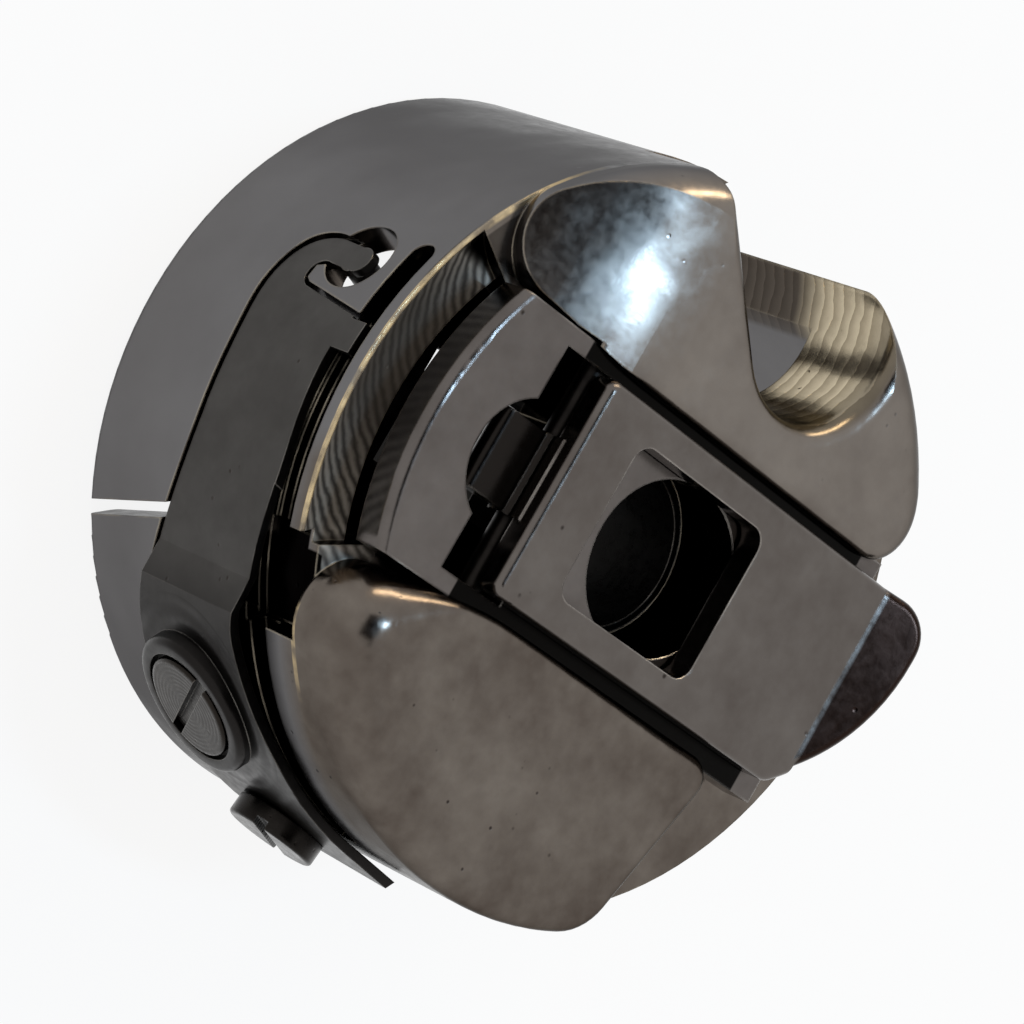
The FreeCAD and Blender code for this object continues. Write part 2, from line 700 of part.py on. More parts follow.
def latch_lever():
    heights = ("lever_bottom", "lever_top")
    strip = block("lever_strip", ("-lever_back", "lip_crease + 4"), ("-lever_half", "lever_half"), heights)
    sweep = cylinder("lip_sweep_disc", "lip_sweep", "lever_thickness", pose("lip_centre_x", "lip_centre_y", "lever_bottom"))
    rear = block("lever_rear", ("-lever_back", "lip_centre_x"), ("-2 * lever_half", "2 * lever_half"), heights)
    plan = common("lever_plan", strip, fuse("lever_keep", sweep, rear))

    def plan_corner(edge):
        if not is_line(edge, Z_AXIS):
            return None
        spot = middle(edge)
        if spot.x < 0:
            return size("lever_end_round")
        return size("lip_corner") if spot.y > 0 else size("lip_corner") / 2
    cornered = rounded("lever_cornered", plan, plan_corner)

    def outline_edge(edge):
        return size("lever_round") if is_level(edge, size("lever_top")) else None
    eased = rounded("lever_eased", cornered, outline_edge)
    fold = "lip_crease + lever_thickness * tan(lip_angle / 2)"
    wide = ("-2 * lever_half", "2 * lever_half")
    tall = ("lever_bottom - 1", "lever_top + 1")
    plate = common("lever_plate", eased, block("lever_plate_side", ("-lever_back - 1", fold), wide, tall))
    lip_flat = common("lip_flat", eased, block("lip_side", (fold, "2 * outer_radius"), wide, tall))
    lip = doc.addObject("Part::Compound", "lip")
    lip.Links = [lip_flat]
    place(lip, pose(fold, "0", "lever_bottom", pitch="-lip_angle"), pose("-(%s)" % fold, "0", "-lever_bottom"))
    window = block("window_blank", ("-window_back", "window_front"), ("-window_half", "window_half"), tall)

    def upright(edge):
        return size("window_corner") if is_line(edge, Z_AXIS) else None
    window_tool = rounded("window_tool", window, upright)
    along = dict(roll="90")
    barrel = cylinder("knuckle_barrel", "knuckle_radius", "2 * knuckle_half", pose("-hinge_x", "knuckle_half", "hinge_z", **along))
    neck = block("knuckle_neck", ("-hinge_x - neck_half", "-hinge_x + neck_half"), ("-knuckle_half", "knuckle_half"),
                 ("hinge_z", "lever_bottom + 0.3"))
    heel = block("heel", ("-hinge_x - heel_length + heel_thickness / 2", "-hinge_x"), ("-heel_half", "heel_half"),
                 ("hinge_z - heel_thickness / 2", "hinge_z + heel_thickness / 2"))
    heel_end = cylinder("heel_end", "heel_thickness / 2", "2 * heel_half",
                        pose("-hinge_x - heel_length + heel_thickness / 2", "heel_half", "hinge_z", **along))
    pin_hole = cylinder("lever_pin_hole", "pin_radius + pin_play", "2 * knuckle_half + 2",
                        pose("-hinge_x", "knuckle_half + 1", "hinge_z", **along))
    joined = fuse("lever_joined", plate, lip, barrel, neck, heel, heel_end)
    return cut("latch_lever", joined, window_tool, pin_hole)


def helix_spot(turn, radius, pitch, start):
    """Point and direction on the coil after so many turns."""
    angle = 2 * math.pi * turn
    point = Vector(start + pitch * turn, radius * math.cos(angle), size("spring_height") + radius * math.sin(angle))
    heading = Vector(pitch / (2 * math.pi), -radius * math.sin(angle), radius * math.cos(angle))
    return point, heading.normalize()


def arc_between(first, heading, last):
    """Arc that leaves first along heading and ends at last."""
    chord = last - first
    across = heading - chord * (heading.dot(chord) / chord.dot(chord))
    if across.Length < 1e-9:
        return straight(first, last)
    half = math.acos(max(-1.0, min(1.0, heading.dot(chord) / chord.Length)))
    bulge = chord.Length / 2 * math.tan(half / 2)
    return Part.Arc(first, first + chord / 2 + across.normalize() * bulge, last).toShape()


def biarc(first, heading, last, final):
    """Two arcs that join two points and keep both headings."""
    chord = last - first
    both = heading + final
    spread = 2 * (1 - heading.dot(final))
    reach = (-chord.dot(both) + math.sqrt(chord.dot(both) ** 2 + spread * chord.dot(chord))) / spread
    joint = (first + last + (heading - final) * reach) / 2
    turned = arc_between(last, final * -1, joint)
    return [arc_between(first, heading, joint), turned]


def latch_spring():
    wire = size("spring_wire")
    room = size("spring_end") - size("spring_start")
    turns = size("spring_turns")
    margin = 0.05 + 0.6 * wire
    pitch = (room - 2 * margin) / turns
    start = size("spring_start") + margin
    spots = [helix_spot(step / 4, size("spring_mean_radius"), pitch, start) for step in range(int(4 * turns) + 1)]
    first, heading = spots[0]
    edges = [straight(first - heading * wire, first)]
    for (here, go), (there, arrive) in zip(spots, spots[1:]):
        edges += biarc(here, go, there, arrive)
    last, heading_out = spots[-1]
    edges.append(straight(last, last + heading_out * wire))
    path = Part.Wire(Part.__sortEdges__(edges))
    begin = first - heading * wire
    profile = Part.Wire(Part.Circle(begin, heading, wire / 2).toShape())
    shape = path.makePipeShell([profile], True, False)
    gap = coil_gap(path, wire)
    print("latch_spring least gap between turns %.3f mm, pitch %.3f mm" % (gap, pitch))
    return solid_feature("latch_spring", shape)


def coil_gap(path, wire):
    """Least free distance between stretches of the coil half a turn or more apart along it."""
    points = path.discretize(Number=400)
    half_turn = int(math.pi * size("spring_mean_radius") / path.Length * 400)
    least = min((one - two).Length for row, one in enumerate(points) for two in points[row + half_turn:])
    return least - wire


def tension_spring():
    strip = solid_feature("leaf_strip", leaf_shape())
    boss = radial_pin("boss", "boss_radius", "leaf_fixed_inner", "boss_top", "regulator_angle", "regulator_z")

    def boss_edge(edge):
        round_edge = isinstance(edge.Curve, Part.Circle)
        return size("boss_round") if round_edge and middle(edge).Length > size("boss_top") - 0.2 else None
    boss = rounded("boss_eased", boss, boss_edge)
    recess = radial_pin("boss_recess", "boss_radius - boss_rim", "boss_seat", "boss_top + 1", "regulator_angle",
                        "regulator_z")
    hook = radial_pin("hook", "hook_radius", "leaf_free_inner - hook_depth", "leaf_free_outer - 0.02",
                      "165.4", "leaf_middle + 0.5")
    tab = ring_sector("tab", "leaf_free_outer - tab_depth", "leaf_free_outer", "tab_start", "tab_end",
                      "tab_low", "tab_low + tab_thickness")
    tab_web = ring_sector("tab_web", "leaf_free_inner", "leaf_free_outer", "tab_start", "tab_end",
                          "leaf_middle + 1.5", "tab_low + tab_thickness")
    regulator_hole = radial_pin("leaf_regulator_hole", "regulator_shank + screw_hole_play", "inner_radius",
                                "boss_top + 1", "regulator_angle", "regulator_z")
    fixing_hole = radial_pin("leaf_fixing_hole", "fixing_shank + screw_hole_play", "inner_radius", "boss_top + 1",
                             "fixing_angle", "fixing_z")
    sector = ring_sector("boss_keep", "leaf_fixed_inner", "outer_radius + 2", "joggle_end", "fixing_angle", "0",
                         "plate_top")
    raised = common("boss_raised", boss, sector)
    joined = fuse("leaf_joined", strip, raised, hook, tab, tab_web)
    return cut("tension_spring", joined, recess, regulator_hole, fixing_hole)


def slotted_screw(name, shank, head, seat, height, angle, z, turn):
    """A screw that stands away from the cup's axis, with a driver slot turned about its own axis."""
    top = "%s + %s" % (seat, height)
    body = fuse(name + "_blank",
                radial_pin(name + "_shank", shank, "inner_radius + 0.15", seat, angle, z),
                radial_pin(name + "_head", head, seat, top, angle, z))

    def head_edge(edge):
        spot = middle(edge)
        out = spot.x * math.cos(math.radians(size(angle))) + spot.y * math.sin(math.radians(size(angle)))
        round_top = isinstance(edge.Curve, Part.Circle) and edge.Length > 6 * size(shank)
        return size("screw_round") if round_top and out > size(seat.split()[0]) + size(height) - 0.01 else None
    eased = rounded(name + "_eased", body, head_edge)
    slot = block(name + "_slot", ("%s - screw_slot_depth" % top, top + " + 1"), ("-screw_slot / 2", "screw_slot / 2"),
                 ("-2 * " + head, "2 * " + head), pose(z=z, yaw=angle), pose(roll=turn))
    return cut(name, eased, slot)


def regulating_screw():
    return slotted_screw("regulating_screw", "regulator_shank", "regulator_head_radius", "boss_seat + screw_seat_gap",
                         "regulator_head_height", "regulator_angle", "regulator_z", "45")


def fixing_screw():
    return slotted_screw("fixing_screw", "fixing_shank", "fixing_head_radius", "leaf_fixed_outer + screw_seat_gap",
                         "fixing_head_height", "fixing_angle", "fixing_z", "60")


PIECES = (case_body, bobbin_post, latch_slide, latch_pin, latch_lever, latch_spring, tension_spring,
          regulating_screw, fixing_screw)

os.makedirs("parts", exist_ok=True)
finished = []
for make in PIECES:
    piece = make()
    piece.Label = make.__name__
    finished.append(piece)
doc.recompute()

for piece in finished:
    shape = piece.Shape
    if "Invalid" in piece.State or "Error" in piece.State or shape.isNull() or not shape.isValid():
        raise RuntimeError("%s did not build: %s" % (piece.Label, piece.State))
    if len(shape.Solids) != 1:
        raise RuntimeError("%s has %d solids" % (piece.Label, len(shape.Solids)))
    shape.exportStep("parts/%s.step" % piece.Label)
    box = shape.BoundBox
    print("%-17s %8.2f mm3  x %.2f..%.2f  y %.2f..%.2f  z %.2f..%.2f" % (
        piece.Label, shape.Volume, box.XMin, box.XMax, box.YMin, box.YMax, box.ZMin, box.ZMax))
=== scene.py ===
# %% [markdown]
# # A bobbin case in dark nickel-plated steel
#
# The cup holds the bobbin of an industrial sewing machine. It stands here on its open rim with
# the latch face up, about 23 mm across. The solids come from the CAD frame in metres; this
# lesson dresses them: the finishes first, then the small coil under the latch, then the studio.

import math

import bmesh
import bpy
from mathutils import Matrix, Vector


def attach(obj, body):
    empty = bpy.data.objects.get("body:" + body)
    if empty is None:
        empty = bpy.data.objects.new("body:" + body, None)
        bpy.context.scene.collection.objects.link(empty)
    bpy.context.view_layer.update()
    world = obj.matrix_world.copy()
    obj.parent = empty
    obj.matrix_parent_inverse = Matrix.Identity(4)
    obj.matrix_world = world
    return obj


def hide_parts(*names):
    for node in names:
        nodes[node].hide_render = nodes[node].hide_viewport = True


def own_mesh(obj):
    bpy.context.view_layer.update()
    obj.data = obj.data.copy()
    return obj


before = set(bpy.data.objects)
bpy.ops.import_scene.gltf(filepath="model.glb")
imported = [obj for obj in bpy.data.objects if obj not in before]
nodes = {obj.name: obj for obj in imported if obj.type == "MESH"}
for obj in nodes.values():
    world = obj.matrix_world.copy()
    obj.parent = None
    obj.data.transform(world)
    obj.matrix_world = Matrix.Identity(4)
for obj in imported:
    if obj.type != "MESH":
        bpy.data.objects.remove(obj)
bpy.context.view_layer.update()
MM = 0.001
print("CAD nodes:", sorted(nodes))

# %% [markdown]
# ## Colours and nodes
#
# Colours are written as sRGB hex values, as a paint shop would give them. Shaders work in linear
# light, so one function converts them. A second small function adds a node, sets its options and
# fills its inputs, with values or with links. Pattern sizes are given in millimetres on the part.

# %% Colour and node helpers
def linear(hex_text):
    """An sRGB hex colour as linear red, green and blue, with full alpha."""
    channels = [int(hex_text[place:place + 2], 16) / 255 for place in (1, 3, 5)]
    return tuple(c / 12.92 if c <= 0.04045 else ((c + 0.055) / 1.055) ** 2.4 for c in channels) + (1.0,)


def add(tree, kind, inputs=None, **settings):
    """Adds one node, sets its options, and fills its inputs with values or links."""
    node = tree.nodes.new(kind)
    for name, value in settings.items():
        setattr(node, name, value)
    for name, value in (inputs or {}).items():
        socket = node.inputs[name]
        if isinstance(value, bpy.types.NodeSocket):
            tree.links.new(value, socket)
        else:
            socket.default_value = value
    return node


def per(size_mm):
    """Texture scale for a pattern whose marks are size_mm apart."""
    return 1.0 / (size_mm * MM)


def between(levels):
    """Inputs of a range node: the level where its result begins and the one where it is whole."""
    return {"From Min": levels[0], "From Max": levels[1]}


# a wave texture has twenty radians to one unit of scale
WAVE = 2 * math.pi / 20
WHITE = linear("#ffffff")
print("middle grey as linear light:", [round(c, 3) for c in linear("#808080")])

# %% [markdown]
# ## Masks by position
#
# The finish of one piece changes from place to place: a wall is cooler, a groove is oily. Such
# places could be painted on an image, but that needs unwrapping and blurs close up. A mask made
# of limits in millimetres on the part stays put in every view, and its rows read as sizes.

# %% Masks
FAR_MM = 50.0
CRISP_MM = 0.06


def product(tree, first, *others):
    """All masks at once, multiplied."""
    for other in others:
        first = add(tree, "ShaderNodeMath", {0: first, 1: other}, operation="MULTIPLY").outputs["Value"]
    return first


def within(tree, position, low_mm, high_mm, border_mm=CRISP_MM):
    """A mask that is one where a position lies between two limits, and fades over a border outside."""
    above = add(tree, "ShaderNodeMapRange", {
        "Value": position, "From Min": (low_mm - border_mm) * MM, "From Max": low_mm * MM})
    below = add(tree, "ShaderNodeMapRange", {
        "Value": position, "From Min": (high_mm + border_mm) * MM, "From Max": high_mm * MM})
    return product(tree, above.outputs["Result"], below.outputs["Result"])


def area(tree, positions, limits):
    """A mask for where all limits hold: a row has a direction, two limits in mm and maybe a border."""
    return product(tree, *[within(tree, positions[axis], *bounds) for axis, *bounds in limits])


print("a mask without limits reaches", FAR_MM, "mm")

# %% [markdown]
# ## Changes to a finish
#
# A finish starts as a set of loose ends: its colour, roughness and relief. While they are loose, a
# machined or oily area can be painted over the colour, and tool marks can be raised or cut in the
# relief. Each change takes the last end and leaves a new one, so the order reads like a work plan.

# %% Paint and emboss
def paint_over(finish, mask, colour):
    """Lays a colour, or a link that gives one, over a finish where a mask says."""
    painted = add(finish["tree"], "ShaderNodeMix", {
        "Factor": mask, "A": finish["colour"], "B": colour}, data_type="RGBA")
    finish["colour"] = painted.outputs["Result"]


def emboss(finish, pattern, height):
    """Adds a pattern to the relief of a finish; a negative height cuts it in."""
    raised = add(finish["tree"], "ShaderNodeMath", {
        0: pattern, 1: height, 2: finish["relief"]}, operation="MULTIPLY_ADD")
    finish["relief"] = raised.outputs["Value"]


print("paint and emboss ready")

# %% [markdown]
# ## Dark nickel on steel
#
# The cup, lever and slide are steel, tumbled and plated with a dark nickel. The plate is glossy
# but not a mirror: cloudy smudges of oil, a fine grain from tumbling, a few hairlines and pits.
# The colour is nearly neutral with a brown cast. Tumbling also rounds the surface unevenly, and
# these slow waves break up what the metal reflects. Noise by position gives all of these marks.

# %% Start of a plated finish
# the grain of tumbling is finer than this, and is drawn as coarse as it needs to show
GRAIN_MM = 0.3
MOTTLE_MM = 0.7
MOTTLE_SHARE = 0.3
SWELL_MM = 2.6
HAIRLINE_MM = (6.0, 0.1, 0.1)
HAIRLINE_TURN = (0.3, 0.4, 0.5)
PIT_DEPTH = 4.0
PIT_BROWN = "#332e2b"
# levels of a noise between which a mark comes up, and the distance from a pit's heart
CLOUD_LEVELS = (0.43, 0.87)
GRAIN_LEVELS = (0.3, 0.7)
HAIRLINE_LEVELS = (0.68, 0.78)
PIT_PATCH_LEVELS = (0.47, 0.55)
PIT_REACH = (0.095, 0.04)


def plated_steel(name, deep, pale, gloss, smudge_mm=3.2, pit_mm=1.1, hairline=0.12, waves=12.0):
    """Loose ends of a plated finish: smudged colour, grainy gloss, and a relief of waves and marks."""
    material = bpy.data.materials.new(name)
    material.use_nodes = True
    tree = material.node_tree
    tree.nodes["Principled BSDF"].inputs["Metallic"].default_value = 1.0
    place = add(tree, "ShaderNodeTexCoord").outputs["Object"]
    smudge = add(tree, "ShaderNodeTexNoise", {
        "Vector": place, "Scale": per(smudge_mm), "Detail": 5.0, "Roughness": 0.62}).outputs["Fac"]
    grain = add(tree, "ShaderNodeTexNoise", {
        "Vector": place, "Scale": per(GRAIN_MM), "Detail": 3.0}).outputs["Fac"]
    mottle = add(tree, "ShaderNodeTexNoise", {
        "Vector": place, "Scale": per(MOTTLE_MM), "Detail": 2.0}).outputs["Fac"]
    clouds = add(tree, "ShaderNodeMath", {0: mottle, 1: MOTTLE_SHARE, 2: smudge}, operation="MULTIPLY_ADD")
    tone = add(tree, "ShaderNodeMapRange", {"Value": clouds.outputs["Value"], **between(CLOUD_LEVELS)})
    plate = add(tree, "ShaderNodeMix", {
        "Factor": tone.outputs["Result"], "A": linear(deep), "B": linear(pale)}, data_type="RGBA")
    rough = add(tree, "ShaderNodeMapRange", {
        "Value": grain, **between(GRAIN_LEVELS), "To Min": gloss[0], "To Max": gloss[1]})
    finish = {"material": material, "tree": tree, "place": place, "colour": plate.outputs["Result"],
              "rough": rough.outputs["Result"], "relief": grain}
    # hairlines: noise stretched sixty times along one direction
    stretch = add(tree, "ShaderNodeMapping", {
        "Vector": place, "Rotation": HAIRLINE_TURN, "Scale": [per(size) for size in HAIRLINE_MM]})
    line = add(tree, "ShaderNodeTexNoise", {"Vector": stretch.outputs["Vector"], "Scale": 1.0, "Detail": 1.0})
    hair = add(tree, "ShaderNodeMapRange", {"Value": line.outputs["Fac"], **between(HAIRLINE_LEVELS)})
    emboss(finish, hair.outputs["Result"], -hairline)
    # pits: the hearts of a few cells, only where the smudge noise is high
    cells = add(tree, "ShaderNodeTexVoronoi", {"Vector": place, "Scale": per(pit_mm), "Randomness": 1.0})
    heart = add(tree, "ShaderNodeMapRange", {"Value": cells.outputs["Distance"], **between(PIT_REACH)})
    patch = add(tree, "ShaderNodeMapRange", {"Value": smudge, **between(PIT_PATCH_LEVELS)})
    pits = product(tree, heart.outputs["Result"], patch.outputs["Result"])
    paint_over(finish, pits, linear(PIT_BROWN))
    emboss(finish, pits, -PIT_DEPTH)
    swell = add(tree, "ShaderNodeTexNoise", {"Vector": place, "Scale": per(SWELL_MM), "Detail": 1.0})
    emboss(finish, swell.outputs["Fac"], waves)
    return finish


print("plated finish with a grain of", GRAIN_MM, "mm")

# %% [markdown]
# ## Pale edges and painted shade in the gaps
#
# Edges are painted paler, partly as plating burnished where edges rub and partly as a painted
# highlight, and narrow gaps are painted black as painted shade. A bevelled normal that differs from
# the plain one says where an edge is. Ambient occlusion says how shut-in a point is. Both depend on
# the shape alone, not on where the viewer stands.

# %% Close a finish
RUB_MM = 1.6
BUMP_MM = 0.004
BUMP_STRENGTH = 0.5
SHAPE_SAMPLES = 4
# how alike the bevelled and the plain normal are where wear begins and where it is whole
EDGE_LIKENESS = (0.985, 0.8)
RUB_LEVELS = (0.38, 0.68)
LEAST_RUB = 0.1
FULL_GAP_SHADE = 0.4


def close_surface(finish, edge, edge_mm=0.08, gap_mm=0.9, shut=0.5, black="#0b0a09"):
    """Paints pale edges, partly wear and partly a painted highlight, and painted shade in the gaps, and links
    colour, roughness and relief to the shader.
    """
    tree = finish["tree"]
    shader = tree.nodes["Principled BSDF"]
    bevel = add(tree, "ShaderNodeBevel", {"Radius": edge_mm * MM}, samples=SHAPE_SAMPLES).outputs["Normal"]
    plain = add(tree, "ShaderNodeNewGeometry").outputs["Normal"]
    alike = add(tree, "ShaderNodeVectorMath", {0: bevel, 1: plain}, operation="DOT_PRODUCT")
    edge_wear_and_glint = add(tree, "ShaderNodeMapRange", {"Value": alike.outputs["Value"], **between(EDGE_LIKENESS)})
    chance = add(tree, "ShaderNodeTexNoise", {
        "Vector": finish["place"], "Scale": per(RUB_MM), "Detail": 3.0})
    here = add(tree, "ShaderNodeMapRange", {
        "Value": chance.outputs["Fac"], **between(RUB_LEVELS), "To Min": LEAST_RUB, "To Max": 1.0})
    # pale edges: partly plating burnished where edges rub, partly a painted highlight
    paint_over(finish, product(tree, edge_wear_and_glint.outputs["Result"], here.outputs["Result"]), linear(edge))
    # painted shade: points shut in by the shape are painted black
    openness = add(tree, "ShaderNodeAmbientOcclusion", {"Distance": gap_mm * MM}, samples=SHAPE_SAMPLES)
    gap_shade = add(tree, "ShaderNodeMapRange", {
        "Value": openness.outputs["AO"], **between((shut, shut * FULL_GAP_SHADE))})
    paint_over(finish, gap_shade.outputs["Result"], linear(black))
    bump = add(tree, "ShaderNodeBump", {
        "Height": finish["relief"], "Distance": BUMP_MM * MM, "Strength": BUMP_STRENGTH, "Normal": bevel})
    tree.links.new(finish["colour"], shader.inputs["Base Color"])
    tree.links.new(finish["rough"], shader.inputs["Roughness"])
    tree.links.new(bump.outputs["Normal"], shader.inputs["Normal"])
    return finish["material"]


def dress(node, material):
    """Gives a CAD node one finish all over."""
    mesh = nodes[node].data
    mesh.materials.clear()
    mesh.materials.append(material)


print("finishes close with a relief of", BUMP_MM, "mm")

# %% [markdown]
# ## The cup: plate and walls
#
# The cup is one piece of steel, tumbled until its edges are soft and then plated. Its top is
# brownish. Its walls are painted a lighter, cooler grey, a painted reflection, and the top of the
# notched lobe is painted paler. On the shoulder of the plain lobe the brown goes on down the wall.
# A mask from how far the surface faces up tells top from wall. A thin oxide, given as a tint, keeps
# a grazing view of the walls from going white.

# %% Cup plate
NOTCHED_LOBE_TOP = (("Y", 4.5, FAR_MM, 1.0), ("Z", 11.5, FAR_MM, 0.5))
TOP_PALENESS = 0.4
cup = plated_steel("dark_nickel_on_steel_cup", "#4f4741", "#6d665f", (0.16, 0.24), pit_mm=0.8, waves=60.0)
tree = cup["tree"]
tree.nodes["Principled BSDF"].inputs["Specular Tint"].default_value = linear("#b4b4b4")
facing = add(tree, "ShaderNodeTexCoord").outputs["Normal"]
upness = add(tree, "ShaderNodeSeparateXYZ", {"Vector": facing}).outputs["Z"]
spot = add(tree, "ShaderNodeSeparateXYZ", {"Vector": cup["place"]}).outputs
flat = add(tree, "ShaderNodeVectorMath", {
    0: cup["place"], 1: (1.0, 1.0, 0.0)}, operation="MULTIPLY").outputs["Vector"]
radius = add(tree, "ShaderNodeVectorMath", {0: flat}, operation="LENGTH").outputs["Value"]
on_cup = {"X": spot["X"], "Y": spot["Y"], "Z": spot["Z"], "R": radius}
# the top of the notched lobe is painted paler
paint_over(cup, product(tree, area(tree, on_cup, NOTCHED_LOBE_TOP), TOP_PALENESS), linear("#88827c"))
print("plate of the cup:", cup["material"].name)

# %% Cup walls
PLAIN_LOBE = (("Z", 10.7, FAR_MM, 0.8), ("Y", -FAR_MM, -3.0, 1.0), ("X", -FAR_MM, 4.0, 2.5))
WALL_CLOUD_MM = 7.0
WALL_UPNESS = (0.6, 0.15)
steep = add(tree, "ShaderNodeMapRange", {"Value": upness, **between(WALL_UPNESS)}).outputs["Result"]
off_lobe = add(tree, "ShaderNodeMath", {
    0: 1.0, 1: area(tree, on_cup, PLAIN_LOBE)}, operation="SUBTRACT").outputs["Value"]
wall_cloud = add(tree, "ShaderNodeTexNoise", {
    "Vector": cup["place"], "Scale": per(WALL_CLOUD_MM), "Detail": 4.0})
wall_painted_reflection = add(tree, "ShaderNodeMix", {
    "Factor": wall_cloud.outputs["Fac"], "A": linear("#5b5959"), "B": linear("#797879")}, data_type="RGBA")
# painted reflection: walls that face sideways are painted a lighter, cooler grey than the top
paint_over(cup, product(tree, steep, off_lobe), wall_painted_reflection.outputs["Result"])
print("walls painted with clouds of", WALL_CLOUD_MM, "mm")

# %% [markdown]
# ## The cup: milled notch
#
# The round notch is milled after plating, so its wall is golden steel with level steps from the
# cutter. It is painted bright in a band at mid height and duller towards the top and the foot. The
# wall is found by its distance from the notch's axis and by facing that axis. A saw-tooth wave
# makes the steps.

# %% Milled notch
NOTCH_AXIS = Vector((1.75, 8.9, 0.0)) * MM
NOTCH_REACH_MM = 3.3
NOTCH_BORDER_MM = 0.2
FACING_AXIS = (-0.45, -0.7)
STEP_MM = 0.46
NOTCH_BRIGHT_BAND = (("Z", 9.4, 11.5, 1.4),)
TOOL_MARK_HEIGHT = 2.0
away = add(tree, "ShaderNodeVectorMath", {0: flat, 1: NOTCH_AXIS}, operation="SUBTRACT").outputs["Vector"]
apart = add(tree, "ShaderNodeVectorMath", {0: away}, operation="LENGTH").outputs["Value"]
outward = add(tree, "ShaderNodeVectorMath", {0: away}, operation="NORMALIZE").outputs["Vector"]
turned_in = add(tree, "ShaderNodeVectorMath", {0: outward, 1: facing}, operation="DOT_PRODUCT")
inside = add(tree, "ShaderNodeMapRange", {"Value": turned_in.outputs["Value"], **between(FACING_AXIS)})
notch = product(tree, inside.outputs["Result"], within(tree, apart, 0.0, NOTCH_REACH_MM, NOTCH_BORDER_MM))
steps = add(tree, "ShaderNodeTexWave", {
    "Vector": cup["place"], "Scale": per(STEP_MM) * WAVE, "Distortion": 4.0, "Detail": 4.0,
    "Detail Scale": 1.2}, wave_type="BANDS", bands_direction="Z", wave_profile="SAW").outputs["Fac"]
dull = add(tree, "ShaderNodeMix", {
    "Factor": steps, "A": linear("#423c36"), "B": linear("#544d46")}, data_type="RGBA")
bright = add(tree, "ShaderNodeMix", {
    "Factor": steps, "A": linear("#978b75"), "B": linear("#c9bca2")}, data_type="RGBA")
# the notch wall is painted bright in a band at mid height, duller above and below
cutter = add(tree, "ShaderNodeMix", {
    "Factor": area(tree, on_cup, NOTCH_BRIGHT_BAND), "A": dull.outputs["Result"],
    "B": bright.outputs["Result"]}, data_type="RGBA")
paint_over(cup, notch, cutter.outputs["Result"])
emboss(cup, product(tree, steps, notch), TOOL_MARK_HEIGHT)
print("notch milled in steps of", STEP_MM, "mm")

# %% [markdown]
# ## The cup: turned ring at the mouth
#
# The ledge round the latch's mouth is turned with a form tool. It is bare steel, rougher than the
# plate, with marks that fan across it and grow stronger towards its ends. Rings of a wave about a
# point beside the mouth, slightly distorted, cross the ledge at a slant as the tool's marks do.

# %% Turned ring
MOUTH_RING = (("R", 8.0, 11.5), ("X", -FAR_MM, -8.0, 0.3), ("Z", 10.05, 10.68), ("Y", -FAR_MM, 4.3, 0.5))
RING_UPNESS = (0.3, 0.5)
RING_ROUGHNESS = 0.6
FAN_CENTRE = Vector((-3.0, 8.0, 0.0)) * MM
FAN_MM = 0.34
RING_MIDDLE = 0.8 * MM
MARKS_GROW = (1.5 * MM, 4.0 * MM)
FAINT_MARKS = 0.2
looking_up = add(tree, "ShaderNodeMapRange", {"Value": upness, **between(RING_UPNESS)}).outputs["Result"]
band = product(tree, area(tree, on_cup, MOUTH_RING), looking_up)
shifted = add(tree, "ShaderNodeVectorMath", {0: flat, 1: FAN_CENTRE}, operation="SUBTRACT")
fan = add(tree, "ShaderNodeTexWave", {
    "Vector": shifted.outputs["Vector"], "Scale": per(FAN_MM) * WAVE, "Distortion": 3.5, "Detail": 3.0,
    "Detail Scale": 1.5}, wave_type="RINGS", rings_direction="Z").outputs["Fac"]
from_middle = add(tree, "ShaderNodeMath", {0: spot["Y"], 1: RING_MIDDLE}, operation="SUBTRACT")
aside = add(tree, "ShaderNodeMath", {0: from_middle.outputs["Value"]}, operation="ABSOLUTE")
ends = add(tree, "ShaderNodeMapRange", {
    "Value": aside.outputs["Value"], **between(MARKS_GROW), "To Min": FAINT_MARKS})
tooled = add(tree, "ShaderNodeMix", {
    "Factor": product(tree, fan, ends.outputs["Result"]), "A": linear("#5a544e"),
    "B": linear("#b9b0a4")}, data_type="RGBA")
paint_over(cup, band, tooled.outputs["Result"])
emboss(cup, product(tree, fan, band), TOOL_MARK_HEIGHT)
cup["rough"] = add(tree, "ShaderNodeMix", {
    "Factor": band, "A": cup["rough"], "B": RING_ROUGHNESS}).outputs["Result"]
print("ring turned with marks", FAN_MM, "mm apart")

# %% [markdown]
# ## The cup: painted shade, painted rim highlight and dish
#
# The slot of the wall, the leaf's groove and the wall under the leaf, the latch's way and the deep
# mouth are painted black, as painted shade. The rim in front of the mouth is painted a golden
# highlight, here and there. The fall of the notched lobe is dished along the mouth, too slightly
# for the solid: a parabola in the relief bends its reflections instead.

# %% Painted shade in the gaps
OUTER_SKIN = (("R", 10.8, 11.56), ("X", -FAR_MM, -0.5))
WALL_SLOT = (("Z", 8.85, 10.22), ("Y", -5.6, 3.6)) + OUTER_SKIN
LEAF_GROOVE = (("Z", 8.0, 10.74), ("Y", -FAR_MM, -5.2)) + OUTER_SKIN
LEAF_SHADE = (("Z", 7.6, 9.1, 0.9), ("R", 10.8, FAR_MM), ("Y", -FAR_MM, -5.2), ("X", -FAR_MM, -0.4, 1.0))
LATCH_WAY = (("Y", -4.15, 4.15), ("X", -5.0, 8.0, 1.0), ("Z", 9.0, 12.6))
MOUTH = (("R", 7.6, 11.3), ("X", -FAR_MM, -5.0))
MOUTH_FLOOR = MOUTH + (("Z", 9.0, 10.0, 0.1),)
MOUTH_CORNER = MOUTH + (("Y", 4.7, FAR_MM, 0.4), ("Z", 9.0, 10.68, 0.05))
SHADED_RECESSES = (WALL_SLOT, LEAF_GROOVE, LEAF_SHADE, LATCH_WAY, MOUTH_FLOOR, MOUTH_CORNER)
recess_shade = 0.0
